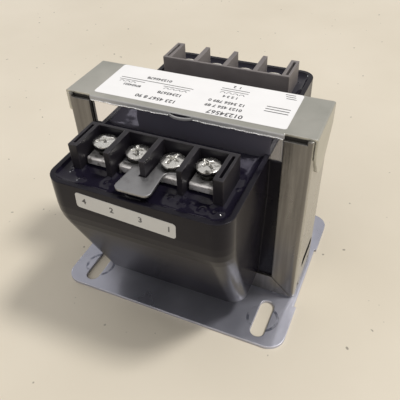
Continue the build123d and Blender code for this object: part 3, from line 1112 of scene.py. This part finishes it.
def skin_height(x, y, beads, seed):
    """Height of the skin over the pour level; y counts away from the core."""
    climb = creep(max(gap_to_tub(x, y), 0.0), *TUB_CREEP)
    climb += creep(gap_to_block(x, y), *BLOCK_CREEP)
    climb += creep(y - TUB_BACK, *CORE_CREEP)
    slow = noise.noise(Vector((x, y, seed)) / SLOW_LENGTH)
    quick = noise.noise(Vector((x, y, seed)) / QUICK_LENGTH)
    waves = EVEN_SKIN + SLOW_WAVE * slow + QUICK_WAVE * quick
    for mid_x, mid_y, radius, high in beads:
        reach = math.hypot(x - mid_x * MM, y - mid_y * MM) / (radius * MM)
        waves += high * math.exp(-reach * reach)
    return (max(waves, LEAST_SKIN) + climb) * MM


wall_height = skin_height(0.0, TUB_FRONT, (), 0.0)
print("resin height at the tub's wall in mm:", round(wall_height / MM, 2))

# %% [markdown]
# The skin could be sculpted, but points that are lifted by a rule come out the
# same each time. A fine grid is made and given a thickness, its corners are
# drawn in to the tub's rounded corners, and its top points are lifted.

# %% Resin: grid to closed skin
SKIN_THICK = 0.5 * MM


def resin_skin(name, side, beads, seed):
    """Model one resin surface; side is -1 in front and 1 at the rear."""
    deselect_all()
    depth = TUB_FRONT - TUB_BACK
    bpy.ops.mesh.primitive_grid_add(x_subdivisions=126, y_subdivisions=76, size=1.0)
    skin = bpy.context.object
    skin.scale = (2 * TUB_HALF, depth, 1.0)
    skin.location = (0, (TUB_FRONT + TUB_BACK) / 2, POUR_LEVEL)
    bpy.ops.object.transform_apply(location=True, rotation=True, scale=True)
    bpy.ops.object.mode_set(mode="EDIT")
    bpy.ops.mesh.select_all(action="SELECT")
    bpy.ops.mesh.extrude_region_move(
        TRANSFORM_OT_translate={"value": (0, 0, -SKIN_THICK)}
    )
    bpy.ops.object.mode_set(mode="OBJECT")
    for vertex in skin.data.vertices:
        x, y, z = vertex.co
        over_x = abs(x) - (TUB_HALF - TUB_CORNER)
        over_y = y - (TUB_FRONT - TUB_CORNER)
        if over_x > 0 and over_y > 0:
            shrink = max(over_x, over_y) / math.hypot(over_x, over_y)
            x = math.copysign(TUB_HALF - TUB_CORNER + over_x * shrink, x)
            y = TUB_FRONT - TUB_CORNER + over_y * shrink
        if z > POUR_LEVEL - SKIN_THICK / 5:
            z = POUR_LEVEL + skin_height(x, y, beads, seed)
        vertex.co = (x, side * y, z)
    bake_place(skin)
    return settle(skin, name, resin_finish, smooth=60.0)


front_skin = resin_skin("front_resin_skin", -1, FRONT_BEADS, 0.0)
rear_skin = resin_skin("rear_resin_skin", 1, REAR_BEADS, 0.4)
print("resin faces:", len(front_skin.data.polygons), len(rear_skin.data.polygons))

# %% [markdown]
# ## Label film
#
# A label is a sheet of film with rounded corners. It could be cut from a
# plane, but a plane has no edge that shows. So a cube is flattened to its size
# and its four upright edges are bevelled. It stands for the plain CAD label
# and is a little thinner, so that the ink has room on top.

# %% Label film: rounded sheets
FILM, INK, LABEL_CORNER = 0.12 * MM, 0.02 * MM, 0.9 * MM


def film_sheet(width, height):
    """A film flat on the XY plane, its middle at the origin."""
    deselect_all()
    bpy.ops.mesh.primitive_cube_add(
        size=1.0, location=(0, 0, FILM / 2), scale=(width, height, FILM)
    )
    film = bpy.context.object
    bpy.ops.object.transform_apply(location=True, rotation=True, scale=True)
    bpy.ops.object.mode_set(mode="EDIT")
    bpy.ops.mesh.select_mode(type="EDGE")
    shape = bmesh.from_edit_mesh(film.data)
    for edge in shape.edges:
        first, second = (v.co for v in edge.verts)
        edge.select_set(abs(first.z - second.z) > FILM / 2)
    bmesh.update_edit_mesh(film.data)
    bpy.ops.mesh.bevel(offset=LABEL_CORNER, segments=8, affect="EDGES")
    bpy.ops.object.mode_set(mode="OBJECT")
    return film


rating_low, rating_high = (Vector(c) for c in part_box("rating_label"))
rating_middle = (rating_low + rating_high) / 2
rating_size = rating_high - rating_low
rating_film = film_sheet(rating_size.x, rating_size.y)
rating_film.location = (rating_middle.x, rating_middle.y, rating_low.z)
bake_place(rating_film)
settle(rating_film, "rating_label_film", white_finish)
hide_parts("rating_label")
print("rating label in mm:", [round(v / MM, 1) for v in rating_size])

# %% [markdown]
# ## Shapes of ink
#
# Ink lies on a label as a very thin layer. An image could carry it, but small
# meshes stay sharp. Strokes are thin boxes, and numbers are text objects
# turned into meshes.

# %% Ink: strokes and numbers
def ink_stroke(x, y, width, height):
    """A thin box of ink, in mm on the label."""
    deselect_all()
    bpy.ops.mesh.primitive_cube_add(
        size=1.0, location=(x * MM, y * MM, INK / 2),
        scale=(width * MM, height * MM, INK),
    )
    stroke = bpy.context.object
    bpy.ops.object.transform_apply(location=True, rotation=True, scale=True)
    return stroke


def ink_numbers(text, x, y, size, turn=0.0):
    """Numbers as a thin mesh, centred on x, y in mm."""
    deselect_all()
    bpy.ops.object.text_add(location=(0, 0, 0))
    words = bpy.context.object
    words.data.body = text
    words.data.size = size * MM
    words.data.extrude = INK / 2
    words.data.offset = 0.06 * MM
    words.data.resolution_u = 2
    words.data.align_x, words.data.align_y = "CENTER", "CENTER"
    bpy.ops.object.convert(target="MESH")
    words = bpy.context.object
    words.data.transform(
        Matrix.Translation((x * MM, y * MM, INK / 2))
        @ Matrix.Rotation(math.radians(turn), 4, "Z")
    )
    return words


print("ink thickness in mm:", INK / MM)

# %% [markdown]
# The turns of a winding diagram are half rings. They could be drawn as curves,
# but a torus is ready-made: it is flattened to the ink's thickness, and a cut
# through its middle takes one half away.

# %% Ink: half rings
COIL_R, LINE_R = 0.75 * MM, 0.12 * MM


def ink_coil(x, y):
    """A half ring of ink, one turn of a winding diagram."""
    deselect_all()
    bpy.ops.mesh.primitive_torus_add(
        major_segments=16, minor_segments=4, major_radius=COIL_R,
        minor_radius=LINE_R, location=(x * MM, y * MM, INK / 2),
    )
    coil = bpy.context.object
    coil.scale.z = INK / (2 * LINE_R)
    bpy.ops.object.transform_apply(location=True, rotation=True, scale=True)
    bpy.ops.object.mode_set(mode="EDIT")
    bpy.ops.mesh.select_all(action="SELECT")
    bpy.ops.mesh.bisect(
        plane_co=(x * MM, y * MM, 0), plane_no=(0, 1, 0),
        clear_inner=True, use_fill=True,
    )
    bpy.ops.object.mode_set(mode="OBJECT")
    return coil


print("width of a half ring in mm:", 2 * (COIL_R + LINE_R) / MM)

# %% [markdown]
# ## Print on the rating label
#
# The print is read from behind, so it stands upside down in the main view. It
# is generic: two winding diagrams drawn as lines and half-round coils, plain
# numbers at their taps, and ruled lines where a form has its fields. Tables of
# places keep the layout in one view, as a drawing would.

# %% Print on the rating label
PRINT_SHIFT = 0.75 * MM
rating_ink = [
    ink_stroke(-14.5, 2.6, 25.0, 0.30), ink_stroke(-22.5, 1.4, 9.0, 0.26),
    ink_stroke(-7.0, 1.4, 9.0, 0.26), ink_stroke(10.2, 6.6, 8.8, 0.30),
    ink_stroke(10.2, 5.4, 8.8, 0.26),
]
for start in (-25.5, -23.5, -21.5, -10.0, -8.0, -6.0, -4.0):
    rating_ink.append(ink_coil(start, -0.1))
for start in (7.0, 9.0, 11.0, 13.0):
    rating_ink.append(ink_coil(start, 3.7))
for text, x, y, size in (
    ("87654321", -21.1, -1.3, 1.55), ("12345678", -7.6, -2.3, 2.0),
    ("012345678", -14.5, 4.8, 1.9), ("123 4567 8 90", -10.4, -6.2, 2.3),
    ("12 3456 789 0", 10.3, -1.2, 1.95), ("0123 456 7 89", 10.3, -4.0, 1.95),
    ("01234567", 12.0, -7.2, 2.7), ("1 2 3 4", 10.2, 2.1, 1.7),
    ("1  2", 10.2, 8.3, 1.7),
):
    rating_ink.append(ink_numbers(text, x, y, size, 180.0))
for row in range(3):
    rating_ink.append(ink_stroke(25.2, -1.6 + 1.3 * row, 7.0, 0.35))
    rating_ink.append(ink_stroke(27.2 - 0.4 * row, 7.0 + 1.1 * row, 3.0, 0.3))
rating_print = join_pieces(rating_ink)
rating_print.location = (
    rating_middle.x, rating_middle.y - PRINT_SHIFT, rating_low.z + FILM,
)
bake_place(rating_print)
settle(rating_print, "rating_label_print", ink_finish)
print("print faces:", len(rating_print.data.polygons))

# %% [markdown]
# ## Strip label on the front of the tub
#
# The strip numbers the four terminals above it, and it was stuck on slightly
# askew. It could be modelled in its place at once, but flat work is simpler:
# film and numbers are modelled flat, turned by the same small angle, and then
# stood up against the tub.

# %% Strip label
STRIP_TILT, STRIP_LENGTH, STRIP_HEIGHT = 3.1, 29.6, 5.1
strip_low, strip_high = (Vector(c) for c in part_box("terminal_label"))
strip_middle = (strip_low + strip_high) / 2
strip_film = film_sheet(STRIP_LENGTH * MM, STRIP_HEIGHT * MM)
strip_print = join_pieces([
    ink_numbers(text, x, 0.1, 2.5)
    for text, x in (("4", -12.2), ("2", -3.8), ("3", 4.7), ("1", 12.9))
])
strip_print.data.transform(Matrix.Translation((0, 0, FILM)))
stand_up = (
    Matrix.Translation((strip_middle.x, strip_high.y, strip_middle.z))
    @ Matrix.Rotation(math.radians(90), 4, "X")
    @ Matrix.Rotation(math.radians(-STRIP_TILT), 4, "Z")
)
for sheet_piece, piece_name, finish in (
    (strip_film, "terminal_label_film", strip_finish),
    (strip_print, "terminal_label_print", ink_finish),
):
    sheet_piece.data.transform(stand_up)
    bake_place(sheet_piece)
    settle(sheet_piece, piece_name, finish)
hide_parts("terminal_label")
print("strip label at", [round(v / MM, 1) for v in strip_middle])

# %% [markdown]
# ## Floor
#
# The object stands on a pale beige floor with faint clouds, scuffs and a few
# dark specks. A curved backdrop is usual in a studio, but here a large plane
# is enough, because only its shadow and its reflection in the metal matter.

# %% Floor
def pale_floor():
    """Pale floor with clouds, scuffs and specks."""
    material, tree, shader, place = start_material("pale_floor")
    broad = noise_value(tree, place, 9.0, Detail=5.0)
    scuffs = place_group(tree, scratch_group, place, Scale=30.0)
    tone = mix_colours(
        tree, step_up(tree, broad, 0.35, 0.65), (0.66, 0.60, 0.49), (0.72, 0.66, 0.55)
    )
    scuffed = as_range(tree, scuffs.outputs["Mask"], 0.0, 0.35)
    tone = mix_colours(tree, scuffed, tone, (0.50, 0.45, 0.37))
    specks = noise_value(tree, place, 330.0, Detail=1.0)
    specked = as_range(tree, specks, 0.0, 0.8, 0.76, 0.79)
    tone = mix_colours(tree, specked, tone, (0.22, 0.20, 0.16))
    join(tree, tone, shader.inputs["Base Color"])
    shader.inputs["Roughness"].default_value = 0.45
    return material


deselect_all()
bpy.ops.mesh.primitive_plane_add(size=8.0, location=(0, 0, 0))
floor = bpy.context.object
floor.name = "floor"
dress(floor, pale_floor())
print("floor size in m:", floor.dimensions[:2])

# %% [markdown]
# ## World
#
# The room is bright and even, so the world gives most of the light. A picture
# of a real room could light the scene, but one pale, slightly warm colour
# gives the same even light.

# %% World
world = bpy.data.worlds.new("soft_room")
bpy.context.scene.world = world
world.use_nodes = True
background = world.node_tree.nodes["Background"]
background.inputs["Color"].default_value = (1.0, 0.975, 0.95, 1.0)
background.inputs["Strength"].default_value = 0.60
print("world strength:", background.inputs["Strength"].default_value)

# %% [markdown]
# ## Lamps
#
# A large lamp behind on the right makes the soft shadow to the front left. A
# sun would do that too, but its shadow has the same softness everywhere. The
# lamp stands far off, so that the floor is lit evenly. A window lamp on the
# left and three small ceiling lamps add the glints on resin and plating and
# hardly any light.

# %% Lamps
def soft_lamp(name, place, target, size, power, colour):
    """A square soft lamp that looks at a point."""
    data = bpy.data.lights.new(name, "AREA")
    data.size = size
    data.energy = power
    data.color = colour
    lamp = bpy.data.objects.new(name, data)
    bpy.context.scene.collection.objects.link(lamp)
    lamp.location = place
    aim = Vector(target) - Vector(place)
    lamp.rotation_euler = aim.to_track_quat("-Z", "Y").to_euler()


soft_lamp("key_lamp", (1.52, 0.61, 3.04), (0, 0, 0.03), 0.6, 66.0, (1.0, 0.97, 0.93))
soft_lamp("window_glint", (-2.1, 0.85, 1.0), (0, 0, 0.05), 0.2, 2.6, (0.97, 0.98, 1.0))
GLINTS = ((-0.908, -1.46, 1.111), (-0.651, -1.541, 1.169), (-0.479, -1.583, 1.194))
for number, spot in enumerate(GLINTS, start=1):
    name = f"ceiling_lamp_{number}"
    soft_lamp(name, spot, (0, 0, 0.05), 0.16, 0.5, (1.0, 0.98, 0.95))

# %% [markdown]
# ## Camera
#
# The camera could be moved by eye until the view looks right. Here its place
# was found by matching corners of the model to the same corners in the
# photograph: an angle around the object, a height angle, a small roll, a
# distance, two shifts and a focal length in pixels. From those, three unit
# vectors are built, which are the camera's own axes.

# %% Camera
bpy.context.scene.view_settings.view_transform = "Standard"
AZIMUTH, ELEVATION, ROLL = (math.radians(a) for a in (25.51, 41.03, -2.64))
DISTANCE, SHIFT_RIGHT, SHIFT_UP = 191.35, -1.08, 18.47
FOCAL_PIXELS, IMAGE_PIXELS, SENSOR = 497.33, 400, 36.0
back = Vector((
    math.sin(AZIMUTH) * math.cos(ELEVATION),
    -math.cos(AZIMUTH) * math.cos(ELEVATION),
    math.sin(ELEVATION),
))
level = Vector((math.cos(AZIMUTH), math.sin(AZIMUTH), 0.0))
rise = back.cross(level)
right = level * math.cos(ROLL) + rise * math.sin(ROLL)
above = rise * math.cos(ROLL) - level * math.sin(ROLL)
camera_data = bpy.data.cameras.new("camera")
camera_data.sensor_width = SENSOR
camera_data.lens = FOCAL_PIXELS / IMAGE_PIXELS * SENSOR
camera = bpy.data.objects.new("camera", camera_data)
bpy.context.scene.collection.objects.link(camera)
turn = Matrix((right, above, back)).transposed()
camera.matrix_world = Matrix.Translation(
    (back * DISTANCE + right * SHIFT_RIGHT + above * SHIFT_UP) * MM
) @ turn.to_4x4()
bpy.context.scene.camera = camera
print("lens in mm:", round(camera_data.lens, 2))
